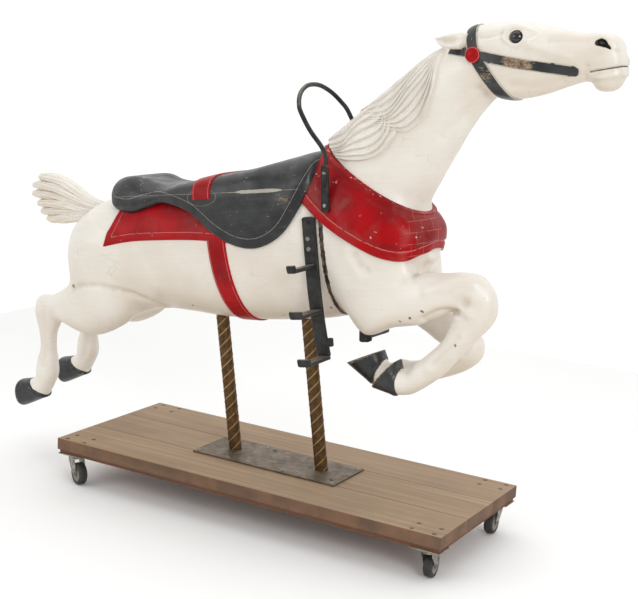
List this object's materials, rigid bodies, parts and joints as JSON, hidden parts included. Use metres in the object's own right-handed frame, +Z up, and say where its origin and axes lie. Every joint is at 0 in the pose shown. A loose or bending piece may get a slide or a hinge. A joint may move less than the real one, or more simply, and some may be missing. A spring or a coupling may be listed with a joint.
{
  "type": "carousel horse on stand",
  "caption": "Carved wooden leaping horse with red and black painted trappings, a hand hoop and foot irons, carried on twisted poles by a rolling plank stand.",
  "frame": {"origin": "on the floor, under the middle of the whole piece's bounding box", "axes": "+X towards the horse's head, +Y towards the horse's left side, +Z up"},
  "size_m": [2.1066, 0.5684, 1.5793],
  "materials": {
    "carved_wood": "old cream oil paint over carved basswood, satin, chipped",
    "eye_glass": "polished dark glass",
    "black_iron": "worn black paint on wrought iron",
    "twisted_brass": "tarnished twisted brass sleeve",
    "foot_steel": "dull hot-rolled steel plate",
    "plywood": "raw plywood edge, stained",
    "deck_wood": "weathered softwood plank",
    "castor_zinc": "dull zinc plating",
    "castor_wheel": "dusty dark grey tread"
  },
  "bodies": {
    "root": {"horse": "carved_wood", "eye_right": "eye_glass", "eye_left": "eye_glass", "hand_hoop": "black_iron", "stirrup_right": "black_iron", "stirrup_left": "black_iron", "pole_rear": "twisted_brass", "pole_front": "twisted_brass", "foot_plate": "foot_steel", "plywood_sheet": "plywood", "deck_board_1": "deck_wood", "deck_board_2": "deck_wood", "deck_board_3": "deck_wood", "castor_1_plate": "castor_zinc", "castor_2_plate": "castor_zinc", "castor_3_plate": "castor_zinc", "castor_4_plate": "castor_zinc"},
    "fork_1": {"castor_1_fork": "castor_zinc", "castor_1_axle": "castor_zinc"},
    "wheel_1": {"castor_1_wheel": "castor_wheel"},
    "fork_2": {"castor_2_fork": "castor_zinc", "castor_2_axle": "castor_zinc"},
    "wheel_2": {"castor_2_wheel": "castor_wheel"},
    "fork_3": {"castor_3_fork": "castor_zinc", "castor_3_axle": "castor_zinc"},
    "wheel_3": {"castor_3_wheel": "castor_wheel"},
    "fork_4": {"castor_4_fork": "castor_zinc", "castor_4_axle": "castor_zinc"},
    "wheel_4": {"castor_4_wheel": "castor_wheel"}
  },
  "joints": [
    {"name": "castor_1_swivel", "type": "hinge", "parent": "root", "child": "fork_1", "pos_m": [-0.62798, -0.242, 0.09], "axis": [0, 0, 1], "continuous": true},
    {"name": "castor_1_roll", "type": "hinge", "parent": "fork_1", "child": "wheel_1", "pos_m": [-0.60332, -0.25298, 0.03678], "axis": [0.4067, 0.9135, 0], "continuous": true},
    {"name": "castor_2_swivel", "type": "hinge", "parent": "root", "child": "fork_2", "pos_m": [0.68202, -0.242, 0.09], "axis": [0, 0, 1], "continuous": true},
    {"name": "castor_2_roll", "type": "hinge", "parent": "fork_2", "child": "wheel_2", "pos_m": [0.67919, -0.21515, 0.03678], "axis": [-0.9945, -0.1045, 0], "continuous": true},
    {"name": "castor_3_swivel", "type": "hinge", "parent": "root", "child": "fork_3", "pos_m": [0.68202, 0.242, 0.09], "axis": [0, 0, 1], "continuous": true},
    {"name": "castor_3_roll", "type": "hinge", "parent": "fork_3", "child": "wheel_3", "pos_m": [0.68296, 0.21502, 0.03678], "axis": [0.9994, 0.0349, 0], "continuous": true},
    {"name": "castor_4_swivel", "type": "hinge", "parent": "root", "child": "fork_4", "pos_m": [-0.62798, 0.242, 0.09], "axis": [0, 0, 1], "continuous": true},
    {"name": "castor_4_roll", "type": "hinge", "parent": "fork_4", "child": "wheel_4", "pos_m": [-0.65336, 0.23276, 0.03678], "axis": [0.342, -0.9397, 0], "continuous": true}
  ]
}
